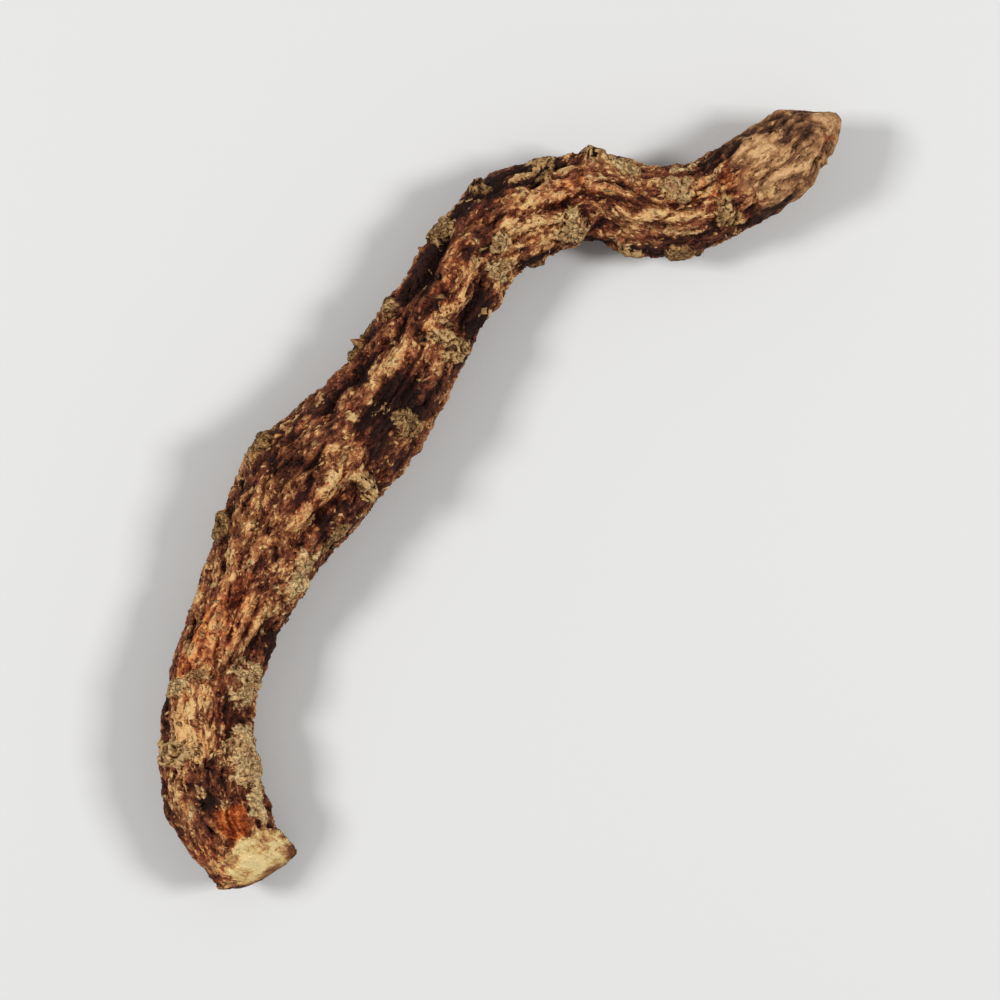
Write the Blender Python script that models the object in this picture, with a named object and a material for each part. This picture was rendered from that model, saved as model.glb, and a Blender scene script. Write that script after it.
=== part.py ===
"""A dried rehmannia root: a crooked, wrinkled taproot with a slanting cut at its thick end.

It is one solid, lofted through unlike ovals along a bent line. Ridges, furrows, knobs, corky pads and finer
wrinkles are raised from its surface by formula. It lies on a level surface, on three low flats.
"""

import itertools
import math

import bmesh
import bpy
import numpy as np

MM = 0.001

# The line through the middle of the root, seen from above, in mm, from the cut end to the tip.
LINE = np.array((
    (-23.1, -38.4), (-25.5, -35.8), (-27.9, -32.0), (-29.2, -22.6), (-26.9, -13.2), (-22.9, -4.2),
    (-17.3, 3.4), (-10.7, 10.6), (-5.9, 19.2), (-0.5, 27.2), (3.7, 29.4), (8.7, 30.0),
    (18.5, 29.4), (22.9, 30.8), (27.1, 33.5), (33.9, 38.8),
))

# The oval at each distance along that line, in mm: distance, then how far the root reaches to the left and to
# the right of the line, and the heights of its back and of its belly above the surface that it lies on.
OVALS = np.array((
    (0.2, -2.0, 3.6, 3.6, 2.2),
    (0.6, 0.0, 4.0, 5.4, 1.7),
    (1.2, 1.8, 4.1, 6.8, 1.4),
    (2.2, 3.1, 4.2, 7.8, 1.1),
    (3.2, 3.9, 4.3, 8.4, 0.9),
    (5.0, 4.2, 4.4, 8.7, 0.7),
    (8.0, 4.6, 4.8, 8.7, 0.3),
    (12.0, 5.0, 4.9, 8.8, -0.15),
    (16.0, 4.6, 4.7, 8.8, -0.25),
    (21.0, 4.6, 4.2, 8.7, 0.3),
    (26.0, 4.8, 4.4, 8.9, 0.6),
    (31.0, 4.7, 4.8, 9.2, 0.6),
    (35.0, 5.1, 5.3, 9.9, 0.3),
    (39.0, 5.9, 5.6, 10.5, -0.05),
    (43.0, 6.9, 6.1, 10.9, -0.3),
    (47.0, 6.4, 6.0, 10.9, -0.25),
    (52.0, 5.8, 5.7, 10.6, 0.35),
    (57.0, 5.4, 4.9, 10.0, 0.9),
    (62.0, 5.0, 4.6, 9.6, 1.2),
    (67.0, 4.8, 4.6, 9.4, 1.3),
    (73.0, 4.4, 4.7, 9.2, 1.2),
    (78.0, 4.7, 5.2, 9.4, 0.9),
    (82.0, 4.4, 4.6, 9.2, 0.6),
    (86.0, 5.0, 4.0, 9.0, 0.2),
    (91.0, 3.9, 4.5, 8.7, -0.3),
    (95.0, 4.1, 4.5, 8.6, -0.1),
    (99.0, 4.2, 4.1, 8.8, 0.7),
    (103.0, 4.5, 4.3, 9.2, 1.5),
    (107.0, 4.2, 4.1, 9.3, 2.4),
    (109.0, 3.9, 3.3, 9.0, 3.0),
    (111.0, 2.3, 2.4, 8.1, 3.9),
    (112.4, 1.0, 1.6, 7.1, 4.7),
    (113.3, 0.2, 0.8, 6.3, 5.3),
))

# Long swellings and furrows along the back: height in mm, half-width across in mm, then the points that the
# stroke runs through, each a distance along the line and an offset to its left.
STROKES = (
    (0.75, 1.0, ((35.0, 0.6), (40.0, -1.1), (47.5, -1.8))),
    (-1.0, 0.9, ((37.0, -2.5), (42.0, -3.0), (46.5, -3.0))),
    (-0.8, 1.3, ((42.5, 4.4), (45.0, 2.6), (46.5, 0.6))),
    (0.7, 1.1, ((47.0, 1.2), (52.0, 1.6), (57.0, 2.5), (61.5, 1.6))),
    (-0.9, 1.6, ((51.0, -0.4), (55.0, -0.6), (59.5, -1.0))),
    (-0.8, 0.8, ((49.0, 3.6), (53.0, 4.4), (58.5, 4.0), (62.6, 2.2))),
    (0.5, 0.8, ((63.0, 1.2), (68.0, 1.2), (73.0, 0.8))),
    (0.4, 0.5, ((64.0, -0.4), (69.0, -0.9))),
    (-0.7, 0.8, ((63.5, 3.0), (68.0, 3.2), (73.0, 2.4))),
    (-0.8, 1.2, ((65.0, -2.9), (68.0, -3.0), (71.5, -2.6))),
    (-0.9, 0.8, ((75.0, -2.6), (78.0, -2.9), (80.5, -2.8))),
    (0.5, 1.1, ((76.0, 0.2), (80.0, 0.6), (84.5, 1.6))),
    (-1.0, 0.6, ((80.0, -1.1), (83.0, -0.4), (88.0, -0.2))),
    (0.6, 0.8, ((87.5, -1.2), (91.0, -1.3), (95.0, -1.0), (99.0, 0.4))),
    (-0.7, 0.4, ((92.5, -0.3), (96.0, 0.4), (99.5, 1.9))),
    (-0.6, 0.5, ((88.5, -2.2), (92.0, -2.2), (95.0, -2.8))),
    (-0.5, 0.4, ((101.0, -2.1), (104.5, -1.3), (109.0, -1.1))),
    (-0.4, 0.4, ((103.0, 0.0), (107.0, -0.4), (110.0, 0.2))),
    (-0.9, 0.6, ((109.9, -2.2), (111.8, -1.5))),
    (-0.8, 0.9, ((23.0, -1.9), (26.0, -3.0), (30.0, -3.7))),
    (-0.6, 1.0, ((16.5, -2.0), (19.0, -2.3), (21.0, -2.0))),
    (-0.6, 0.9, ((8.5, 1.2), (11.0, 0.9), (14.0, 0.0))),
    (0.5, 1.4, ((16.0, 2.4), (20.0, 2.2), (25.0, 3.0))),
    (-0.5, 0.7, ((23.0, 0.2), (27.0, 0.6), (33.0, 1.0))),
)

# Corky pads and the scars of rootlets: distance along the line, offset to its left, half-length along,
# half-width round the root and height, all in mm.
PADS = (
    (15.0, 3.2, 1.2, 2.6, 0.55),
    (20.6, 3.5, 0.8, 2.2, 0.40),
    (22.4, 1.2, 1.1, 1.2, 0.40),
    (14.2, -3.8, 3.8, 3.0, 0.50),
    (8.6, -4.2, 4.0, 1.4, 0.35),
    (22.4, -3.2, 2.8, 2.2, 0.55),
    (36.0, -4.3, 3.2, 1.6, 0.50),
    (41.0, -5.3, 2.6, 1.0, 0.35),
    (47.9, -4.2, 1.4, 2.9, 1.00),
    (54.8, -3.5, 1.3, 2.3, 0.50),
    (63.2, -3.2, 1.4, 2.2, 0.80),
    (36.5, 5.1, 1.4, 1.5, 0.60),
    (43.9, 6.2, 1.8, 1.8, 0.75),
    (57.9, 5.5, 1.9, 1.3, 0.60),
    (64.1, 4.4, 1.5, 1.6, 0.55),
    (72.6, 3.7, 1.5, 1.7, 0.55),
    (76.8, 4.4, 0.7, 1.9, 0.60),
    (81.6, 3.4, 0.8, 2.4, 0.55),
    (74.6, -1.6, 1.3, 1.0, 0.45),
    (72.4, -3.4, 1.7, 1.7, 0.40),
    (83.7, -3.0, 2.2, 2.0, 0.85),
    (85.8, 4.3, 1.0, 2.2, 0.85),
    (88.6, 3.8, 1.8, 1.4, 0.35),
    (94.6, 1.5, 1.7, 1.4, 0.45),
    (96.0, 3.6, 1.3, 1.0, 0.50),
    (94.4, -4.5, 0.9, 1.5, 0.55),
    (98.9, -2.2, 1.0, 2.8, 0.60),
    (104.6, 2.4, 2.2, 1.4, 0.35),
    (109.6, -3.0, 0.5, 0.8, 0.45),
    (2.8, 4.3, 0.6, 0.7, 0.60),
)

# The three low flats that the root rests on: distance along the line, half-length and half-width in mm.
RESTS = (
    (14.0, 3.5, 2.6),
    (44.0, 4.5, 3.0),
    (92.5, 3.5, 2.6),
)

# Pads on the belly and flanks, which are set by a seeded draw: how many, how far from the two ends in mm, the
# angles round the root in degrees, and the ranges of their sizes in mm.
HIDDEN_PADS = 32
HIDDEN_SEED = 7
HIDDEN_FROM_ENDS = (6.0, 10.0)
HIDDEN_ANGLES = (200.0, 340.0)
HIDDEN_HALF_LENGTH = (0.5, 3.6)
HIDDEN_HALF_WIDTH = (0.7, 3.2)
HIDDEN_HEIGHT = (0.15, 0.6)

# The slanting cut at the thick end: its height over the surface at the start, how it rises along the root and
# to its left, and the bulge at its heart: distance, offset, half-width and height in mm, and how many times
# wider than long it is.
CUT_HEIGHT = 2.7
CUT_RISE_ALONG = 1.15
CUT_RISE_LEFT = 0.38
CUT_BULGE = (2.6, -1.2, 3.0, 0.5)
CUT_BULGE_SQUAT = 1.5

# Creased wrinkles: height in mm, and the size of one along the root and round it.
WRINKLES = ((0.5, 9.0, 3.0), (0.42, 5.5, 1.7))
CREASE_SHARPNESS = 2.8
CREST_HEIGHT = 0.44

# A fine crumple of the whole skin, and the sideways wander of every swelling, furrow, pad and wrinkle, in mm.
CRUMPLE_HEIGHT = 0.18
CRUMPLE_SIZE = 1.4
WANDER = 0.7
WANDER_SIZE = 3.5
# How long a stroke takes to fade out at its ends, in mm, and the share of its height that it keeps there.
STROKE_FADE = 4.0
STROKE_END = 0.4
# The pads' edges: how far out they lie and how softly they fall, as shares of the pad's size, how ragged they
# are, and how long one tatter is, in mm.
PAD_REACH = 1.05
PAD_FALL = 0.5
RAGGEDNESS = 0.5
TATTER_SIZE = 1.8
# How deep any furrow may go, as a share of the oval's smaller half-width, and how the relief dies out at the
# two ends: over this length in mm, down to this share.
DEEPEST_SHARE = 0.45
END_FADE = 4.0
END_RELIEF = 0.15

RINGS = 150
SIDES = 39
LENGTH = 113.3

BARK_COLOUR = (0.19, 0.089, 0.040, 1.0)
BARK_ROUGHNESS = 0.8

# How far the line's direction is read before and after a place, in mm, and how near to the side of an oval an
# angle is still told from an offset, as a share of its half-width.
LOOK_AROUND = 1.5
SIDE_LIMIT = 0.97
# What brings the noise to about -1 to 1, and its directions.
NOISE_GAIN = 1.6
GRADIENTS = np.random.default_rng(3).normal(size=(256, 3))
GRADIENTS /= np.linalg.norm(GRADIENTS, axis=1)[:, None]


def through(knots, values, at):
    """A smooth curve through the values at the knots, read at each place."""
    slopes = np.gradient(values, knots, axis=0)
    left = np.clip(np.searchsorted(knots, at, side="right") - 1, 0, len(knots) - 2)
    step = (knots[left + 1] - knots[left])[:, None]
    t = (at - knots[left])[:, None] / step
    rise = t * t * (3 - 2 * t)
    ends = values[left] * (1 - rise) + values[left + 1] * rise
    return ends + step * t * (1 - t) * (slopes[left] * (1 - t) - slopes[left + 1] * t)


def line_at(along):
    """The middle of the root and its leftward direction, seen from above, at each distance along it."""
    knots = np.concatenate(([0.0], np.cumsum(np.hypot(*np.diff(LINE, axis=0).T))))
    ahead = through(knots, LINE, along + LOOK_AROUND) - through(knots, LINE, along - LOOK_AROUND)
    ahead /= np.linalg.norm(ahead, axis=1)[:, None]
    return through(knots, LINE, along), np.column_stack((-ahead[:, 1], ahead[:, 0]))


def oval_at(along):
    """Middle offset, half-width, middle height and half-height of the plain oval at each distance."""
    left, right, back, belly = through(OVALS[:, 0], OVALS[:, 1:], along).T
    return (left - right) / 2, (left + right) / 2, (back + belly) / 2, (back - belly) / 2


def girth_at(along):
    """The mean radius at each distance."""
    return (oval_at(along)[1] + oval_at(along)[3]) / 2


def angle_at(along, offset):
    """The angle round the root, from its left side over its back, that lies at an offset seen from above."""
    middle, half_width, _, _ = oval_at(along)
    return np.arccos(np.clip((offset - middle) / half_width, -SIDE_LIMIT, SIDE_LIMIT))


def noise(points, seed):
    """Smooth noise from about -1 to 1, with features one unit wide."""
    cell = np.floor(points).astype(np.int64)
    part = points - cell
    fade = part**3 * (part * (part * 6 - 15) + 10)
    total = np.zeros(len(points))
    for corner in itertools.product((0, 1), repeat=3):
        place = cell + corner
        mixed = place[:, 0] * 374761393 + place[:, 1] * 668265263 + place[:, 2] * 1103515245 + seed * 97531
        mixed = (mixed ^ (mixed >> 13)) * 1274126177
        slope = GRADIENTS[(mixed ^ (mixed >> 16)) & 255]
        weight = np.prod(np.where(corner, fade, 1 - fade), axis=1)
        total += weight * np.sum(slope * (part - corner), axis=1)
    return total * NOISE_GAIN


def unrolled(along, angle, length, width):
    """Coordinates for noise that is that long along the root and that wide round it."""
    radius = girth_at(along)
    return np.column_stack((along / length, np.cos(angle) * radius / width, np.sin(angle) * radius / width))


def turn_between(angle, other):
    """The signed turn from one angle to another, from minus pi to pi."""
    return (angle - other + math.pi) % (2 * math.pi) - math.pi


def smooth(share):
    """Eases a share from 0 to 1, and holds it there."""
    share = np.clip(share, 0, 1)
    return share * share * (3 - 2 * share)


def stroke_relief(along, angle):
    """The long swellings and furrows of the back."""
    radius = girth_at(along)
    total = np.zeros(len(along))
    for height, half_width, points in STROKES:
        points = np.array(points)
        angles = angle_at(points[:, 0], points[:, 1])
        across = turn_between(angle, np.interp(along, points[:, 0], angles)) * radius
        inside = np.minimum(along - points[0, 0], points[-1, 0] - along)
        fade = smooth(inside / STROKE_FADE + STROKE_END)
        total += height * fade * np.exp(-((across / half_width) ** 2))
    return total


def skewed(draw, low, high):
    """A number from low to high, more often a low one."""
    return low + (high - low) * draw.uniform() ** 2


def hidden_pads():
    """Seeded pads on the belly and flanks: distance, angle, half-length, half-width and height."""
    draw = np.random.default_rng(HIDDEN_SEED)
    for _ in range(HIDDEN_PADS):
        yield (
            draw.uniform(HIDDEN_FROM_ENDS[0], LENGTH - HIDDEN_FROM_ENDS[1]),
            math.radians(draw.uniform(*HIDDEN_ANGLES)),
            skewed(draw, *HIDDEN_HALF_LENGTH),
            skewed(draw, *HIDDEN_HALF_WIDTH),
            draw.uniform(*HIDDEN_HEIGHT),
        )


def pad_relief(along, angle):
    """The corky pads, as low plates with ragged edges."""
    radius = girth_at(along)
    ragged = RAGGEDNESS * noise(unrolled(along, angle, TATTER_SIZE, TATTER_SIZE), 21)
    total = np.zeros(len(along))
    seen = [
        (place, angle_at(np.array([place]), offset)[0], half_length, half_width, height)
        for place, offset, half_length, half_width, height in PADS
    ]
    for place, turn, half_length, half_width, height in [*seen, *hidden_pads()]:
        reach = np.hypot((along - place) / half_length, turn_between(angle, turn) * radius / half_width)
        total = np.maximum(total, height * smooth((PAD_REACH - reach + ragged) / PAD_FALL))
    return total


def wrinkle_relief(along, angle):
    """Creased wrinkles that run along the root: rounded crests between narrow folds."""
    total = np.zeros(len(along))
    for number, (height, length, width) in enumerate(WRINKLES):
        crease = np.exp(-CREASE_SHARPNESS * np.abs(noise(unrolled(along, angle, length, width), 31 + number)))
        total += height * (CREST_HEIGHT - crease)
    return total + CRUMPLE_HEIGHT * noise(unrolled(along, angle, CRUMPLE_SIZE, CRUMPLE_SIZE), 51)


def rest_calm(along, angle):
    """A factor that takes the relief off the three low flats."""
    across = turn_between(angle, 1.5 * math.pi) * girth_at(along)
    calm = np.ones(len(along))
    for place, half_length, half_width in RESTS:
        calm -= np.exp(-(((along - place) / half_length) ** 4) - (across / half_width) ** 4)
    return calm


def cut_height(along, offset):
    """The height of the slanting cut, which bulges at its heart."""
    heart_along, heart_offset, half_width, bulge = CUT_BULGE
    reach = np.hypot((along - heart_along) * CUT_BULGE_SQUAT, offset - heart_offset) / half_width
    slant = CUT_HEIGHT + CUT_RISE_ALONG * along + CUT_RISE_LEFT * offset
    return slant + bulge * np.exp(-(reach**2))


def root_surface(along, angle):
    """The point of the root's surface, in mm, at each distance along it and angle round it."""
    centre, leftward = line_at(along)
    middle, half_width, mid_height, half_height = oval_at(along)
    end_calm = np.clip(np.minimum(along, LENGTH - along) / END_FADE + END_RELIEF, 0, 1)
    wander = unrolled(along, angle, WANDER_SIZE, WANDER_SIZE)
    astray = along + WANDER * noise(wander, 41)
    turned = angle + WANDER * noise(wander, 42) / girth_at(along)
    relief = stroke_relief(astray, turned) + pad_relief(astray, turned) + wrinkle_relief(astray, turned)
    relief *= end_calm * rest_calm(along, angle)
    relief = np.maximum(relief, -DEEPEST_SHARE * np.minimum(half_width, half_height))
    offset = middle + (half_width + relief) * np.cos(angle)
    height = mid_height + (half_height + relief) * np.sin(angle)
    height = np.maximum(np.minimum(height, cut_height(along, offset)), 0.0)
    seen = centre + leftward * offset[:, None]
    return np.column_stack((seen, height))


def loft(rings, sides):
    """A closed mesh of rings of points round the root, with a fan at each end."""
    step = LENGTH / (rings - 1)
    along = np.repeat(np.arange(rings) * step, sides)
    along = np.clip(along, OVALS[0, 0], LENGTH)
    angle = np.tile(np.arange(sides) * 2 * math.pi / sides, rings)
    points = root_surface(along, angle) * MM
    shape = bmesh.new()
    verts = [shape.verts.new(point) for point in points]
    loops = [verts[i * sides:(i + 1) * sides] for i in range(rings)]
    for near, far in itertools.pairwise(loops):
        for j in range(sides):
            k = (j + 1) % sides
            shape.faces.new((near[k], near[j], far[j], far[k]))
    for loop, turn in ((loops[0], 1), (loops[-1], -1)):
        tip = shape.verts.new(sum((vert.co for vert in loop), loop[0].co * 0) / sides)
        for j in range(sides):
            shape.faces.new((tip, loop[j], loop[(j + 1) % sides])[::turn])
    bmesh.ops.recalc_face_normals(shape, faces=shape.faces)
    mesh = bpy.data.meshes.new("rehmannia_root")
    shape.to_mesh(mesh)
    shape.free()
    return mesh


def bark_material():
    """Wrinkled brown bark with a dull, corky finish."""
    material = bpy.data.materials.new("rehmannia_bark")
    material.use_nodes = True
    shader = material.node_tree.nodes["Principled BSDF"]
    shader.inputs["Base Color"].default_value = BARK_COLOUR
    shader.inputs["Roughness"].default_value = BARK_ROUGHNESS
    shader.inputs["Metallic"].default_value = 0.0
    material.diffuse_color = BARK_COLOUR
    return material


def main():
    """Builds the root in a scene of its own."""
    for obj in list(bpy.data.objects):
        bpy.data.objects.remove(obj)
    group = bpy.data.collections.new("dried_rehmannia_root")
    bpy.context.scene.collection.children.link(group)
    mesh = loft(RINGS, SIDES)
    mesh.materials.append(bark_material())
    mesh.shade_smooth()
    group.objects.link(bpy.data.objects.new("rehmannia_root", mesh))


main()
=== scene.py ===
"""The looks of the dried rehmannia root: its fine skin, flaking cork, crumbs and fibres, in a pale studio.

The skin repeats the solid's own line, ovals, strokes and pads at a finer step, and adds the small wrinkles,
pits and flecks that the solid leaves out. Places on the root are a distance along its middle line from the
cut end and an offset to the left of that line as seen from above, both in mm.
"""

import itertools
import math
from collections import namedtuple

import bpy
import numpy as np
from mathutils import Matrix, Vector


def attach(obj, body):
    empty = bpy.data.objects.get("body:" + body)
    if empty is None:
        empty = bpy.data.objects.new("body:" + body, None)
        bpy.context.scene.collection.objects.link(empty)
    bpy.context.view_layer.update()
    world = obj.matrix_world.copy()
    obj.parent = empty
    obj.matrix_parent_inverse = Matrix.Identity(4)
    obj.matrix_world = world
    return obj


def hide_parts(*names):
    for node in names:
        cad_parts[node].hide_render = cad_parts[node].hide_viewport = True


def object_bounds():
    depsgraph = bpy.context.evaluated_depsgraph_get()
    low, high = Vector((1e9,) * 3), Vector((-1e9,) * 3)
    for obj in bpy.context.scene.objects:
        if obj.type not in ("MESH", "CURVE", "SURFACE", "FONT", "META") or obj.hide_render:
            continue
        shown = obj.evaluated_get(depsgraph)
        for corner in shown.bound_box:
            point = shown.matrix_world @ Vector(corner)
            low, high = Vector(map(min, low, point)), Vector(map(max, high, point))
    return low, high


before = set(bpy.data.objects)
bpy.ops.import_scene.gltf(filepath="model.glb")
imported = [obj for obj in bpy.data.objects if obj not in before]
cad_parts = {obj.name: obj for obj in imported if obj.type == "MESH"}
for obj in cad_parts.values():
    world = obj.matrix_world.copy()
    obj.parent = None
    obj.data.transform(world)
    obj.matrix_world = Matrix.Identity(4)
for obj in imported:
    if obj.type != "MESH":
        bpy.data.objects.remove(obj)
cad_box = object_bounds()

MM = 0.001
NODE = "rehmannia_root"

# The line through the middle of the root, seen from above, in mm, from the cut end to the tip.
LINE = np.array((
    (-23.1, -38.4), (-25.5, -35.8), (-27.9, -32.0), (-29.2, -22.6), (-26.9, -13.2), (-22.9, -4.2),
    (-17.3, 3.4), (-10.7, 10.6), (-5.9, 19.2), (-0.5, 27.2), (3.7, 29.4), (8.7, 30.0),
    (18.5, 29.4), (22.9, 30.8), (27.1, 33.5), (33.9, 38.8),
))

# Ovals: distance, reach to the left, reach to the right, height of the back and of the belly, in mm.
OVALS = np.array((
    (0.2, -2.0, 3.6, 3.6, 2.2), (0.6, 0.0, 4.0, 5.4, 1.7), (1.2, 1.8, 4.1, 6.8, 1.4),
    (2.2, 3.1, 4.2, 7.8, 1.1), (3.2, 3.9, 4.3, 8.4, 0.9), (5.0, 4.2, 4.4, 8.7, 0.7),
    (8.0, 4.6, 4.8, 8.7, 0.3), (12.0, 5.0, 4.9, 8.8, -0.15), (16.0, 4.6, 4.7, 8.8, -0.25),
    (21.0, 4.6, 4.2, 8.7, 0.3), (26.0, 4.8, 4.4, 8.9, 0.6), (31.0, 4.7, 4.8, 9.2, 0.6),
    (35.0, 5.1, 5.3, 9.9, 0.3), (39.0, 5.9, 5.6, 10.5, -0.05), (43.0, 6.9, 6.1, 10.9, -0.3),
    (47.0, 6.4, 6.0, 10.9, -0.25), (52.0, 5.8, 5.7, 10.6, 0.35), (57.0, 5.4, 4.9, 10.0, 0.9),
    (62.0, 5.0, 4.6, 9.6, 1.2), (67.0, 4.8, 4.6, 9.4, 1.3), (73.0, 4.4, 4.7, 9.2, 1.2),
    (78.0, 4.7, 5.2, 9.4, 0.9), (82.0, 4.4, 4.6, 9.2, 0.6), (86.0, 5.0, 4.0, 9.0, 0.2),
    (91.0, 3.9, 4.5, 8.7, -0.3), (95.0, 4.1, 4.5, 8.6, -0.1), (99.0, 4.2, 4.1, 8.8, 0.7),
    (103.0, 4.5, 4.3, 9.2, 1.5), (107.0, 4.2, 4.1, 9.3, 2.4), (109.0, 3.9, 3.3, 9.0, 3.0),
    (111.0, 2.3, 2.4, 8.1, 3.9), (112.4, 1.0, 1.6, 7.1, 4.7), (113.3, 0.2, 0.8, 6.3, 5.3),
))

# Swellings and furrows of the back: height, half-width, then points of distance and offset, in mm.
STROKES = (
    (0.75, 1.0, ((35.0, 0.6), (40.0, -1.1), (47.5, -1.8))),
    (-1.0, 0.9, ((37.0, -2.5), (42.0, -3.0), (46.5, -3.0))),
    (-0.8, 1.3, ((42.5, 4.4), (45.0, 2.6), (46.5, 0.6))),
    (0.7, 1.1, ((47.0, 1.2), (52.0, 1.6), (57.0, 2.5), (61.5, 1.6))),
    (-0.9, 1.6, ((51.0, -0.4), (55.0, -0.6), (59.5, -1.0))),
    (-0.8, 0.8, ((49.0, 3.6), (53.0, 4.4), (58.5, 4.0), (62.6, 2.2))),
    (0.5, 0.8, ((63.0, 1.2), (68.0, 1.2), (73.0, 0.8))),
    (0.4, 0.5, ((64.0, -0.4), (69.0, -0.9))),
    (-0.7, 0.8, ((63.5, 3.0), (68.0, 3.2), (73.0, 2.4))),
    (-0.8, 1.2, ((65.0, -2.9), (68.0, -3.0), (71.5, -2.6))),
    (-0.9, 0.8, ((75.0, -2.6), (78.0, -2.9), (80.5, -2.8))),
    (0.5, 1.1, ((76.0, 0.2), (80.0, 0.6), (84.5, 1.6))),
    (-1.0, 0.6, ((80.0, -1.1), (83.0, -0.4), (88.0, -0.2))),
    (0.6, 0.8, ((87.5, -1.2), (91.0, -1.3), (95.0, -1.0), (99.0, 0.4))),
    (-0.7, 0.4, ((92.5, -0.3), (96.0, 0.4), (99.5, 1.9))),
    (-0.6, 0.5, ((88.5, -2.2), (92.0, -2.2), (95.0, -2.8))),
    (-0.5, 0.4, ((101.0, -2.1), (104.5, -1.3), (109.0, -1.1))),
    (-0.4, 0.4, ((103.0, 0.0), (107.0, -0.4), (110.0, 0.2))),
    (-0.9, 0.6, ((109.9, -2.2), (111.8, -1.5))),
    (-0.8, 0.9, ((23.0, -1.9), (26.0, -3.0), (30.0, -3.7))),
    (-0.6, 1.0, ((16.5, -2.0), (19.0, -2.3), (21.0, -2.0))),
    (-0.6, 0.9, ((8.5, 1.2), (11.0, 0.9), (14.0, 0.0))),
    (0.5, 1.4, ((16.0, 2.4), (20.0, 2.2), (25.0, 3.0))),
    (-0.5, 0.7, ((23.0, 0.2), (27.0, 0.6), (33.0, 1.0))),
)

# Corky pads: the solid's place, half-length, half-width and height in mm, then the looks. The shade runs from
# -1, dark, to about 2, pale, the hue from -1, pinkish, to 1, olive, and rings of 1 are cracks across.
Pad = namedtuple("Pad", "along offset half_length half_width height shade hue rings")
PADS = [Pad(*row) for row in (
    (15.0, 3.2, 1.2, 2.6, 0.55, 0.1, 0.2, 1.0), (20.6, 3.5, 0.8, 2.2, 0.40, 0.9, 0.0, 0.0),
    (22.4, 1.2, 1.1, 1.2, 0.40, 0.1, -0.5, 0.0), (14.2, -3.8, 3.8, 3.0, 0.50, 1.8, -0.5, 0.0),
    (8.6, -4.2, 4.0, 1.4, 0.35, 1.8, -0.4, 0.0), (22.4, -3.2, 2.8, 2.2, 0.55, 0.9, 0.1, 0.0),
    (36.0, -4.3, 3.2, 1.6, 0.50, 1.3, -0.3, 0.0), (41.0, -5.3, 2.6, 1.0, 0.35, -0.4, 0.1, 0.0),
    (47.9, -4.2, 1.4, 2.9, 1.00, 0.3, 0.5, 1.0), (54.8, -3.5, 1.3, 2.3, 0.50, -0.5, 0.0, 0.0),
    (63.2, -3.2, 1.4, 2.2, 0.80, 0.0, 0.2, 1.0), (36.5, 5.1, 1.4, 1.5, 0.60, -0.4, 0.9, 0.0),
    (43.9, 6.2, 1.8, 1.8, 0.75, -0.3, 0.9, 0.0), (57.9, 5.5, 1.9, 1.3, 0.60, -0.9, 1.0, 0.0),
    (64.1, 4.4, 1.5, 1.6, 0.55, -0.5, 0.5, 0.0), (72.6, 3.7, 1.5, 1.7, 0.55, -0.3, 0.7, 0.0),
    (76.8, 4.4, 0.7, 1.9, 0.60, -1.0, 0.2, 1.0), (81.6, 3.4, 0.8, 2.4, 0.55, -0.3, 0.3, 1.0),
    (74.6, -1.6, 1.3, 1.0, 0.45, 0.4, 0.0, 0.0), (72.4, -3.4, 1.7, 1.7, 0.40, 0.9, -0.4, 0.0),
    (83.7, -3.0, 2.2, 2.0, 0.85, 0.4, 0.2, 0.0), (85.8, 4.3, 1.0, 2.2, 0.85, 0.0, 0.4, 1.0),
    (88.6, 3.8, 1.8, 1.4, 0.35, 0.8, 0.0, 0.0), (94.6, 1.5, 1.7, 1.4, 0.45, 1.1, -0.4, 0.0),
    (96.0, 3.6, 1.3, 1.0, 0.50, 1.3, 0.3, 0.0), (94.4, -4.5, 0.9, 1.5, 0.55, -0.5, 0.5, 0.0),
    (98.9, -2.2, 1.0, 2.8, 0.60, -0.1, 0.5, 1.0), (104.6, 2.4, 2.2, 1.4, 0.35, 0.6, 0.0, 0.0),
    (109.6, -3.0, 0.5, 0.8, 0.45, 0.0, 0.0, 0.0), (2.8, 4.3, 0.6, 0.7, 0.60, -1.0, 0.0, 0.0),
)]

# Pads on the belly and flanks, which are set by the solid's own seeded draw: how many, how far from the two
# ends in mm, the angles round the root in degrees, and the ranges of their sizes in mm and of their looks.
HIDDEN_PADS = 32
HIDDEN_SEED = 7
HIDDEN_FROM_ENDS = (6.0, 10.0)
HIDDEN_ANGLES = (200.0, 340.0)
HIDDEN_HALF_LENGTH = (0.5, 3.6)
HIDDEN_HALF_WIDTH = (0.7, 3.2)
HIDDEN_HEIGHT = (0.15, 0.6)
HIDDEN_SHADE = (-0.9, 0.5)
HIDDEN_HUE = (-0.6, 0.7)

# The three low flats that the root rests on: distance along the line, half-length and half-width in mm.
RESTS = ((14.0, 3.5, 2.6), (44.0, 4.5, 3.0), (92.5, 3.5, 2.6))

# The slanting cut at the thick end: its height at the start, how it rises along the root and to its left, and
# the bulge at its heart: distance, offset, half-width and height in mm, and its width over its length.
CUT_HEIGHT = 2.7
CUT_RISE_ALONG = 1.15
CUT_RISE_LEFT = 0.38
CUT_BULGE = (2.6, -1.2, 3.0, 0.5)
CUT_BULGE_SQUAT = 1.5

# The solid's creased wrinkles: height in mm, and the size of one along the root and round it.
WRINKLES = ((0.5, 9.0, 3.0), (0.42, 5.5, 1.7))
CREASE_SHARPNESS = 2.8
CREST_HEIGHT = 0.44

# A crumple of the whole skin, and the sideways wander of every swelling, furrow, pad and wrinkle, in mm.
CRUMPLE_HEIGHT = 0.18
CRUMPLE_SIZE = 1.4
WANDER = 0.7
WANDER_SIZE = 3.5

# How long a stroke takes to fade out at its ends, in mm, and the share of its height that it keeps there.
STROKE_FADE = 4.0
STROKE_END = 0.4

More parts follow.
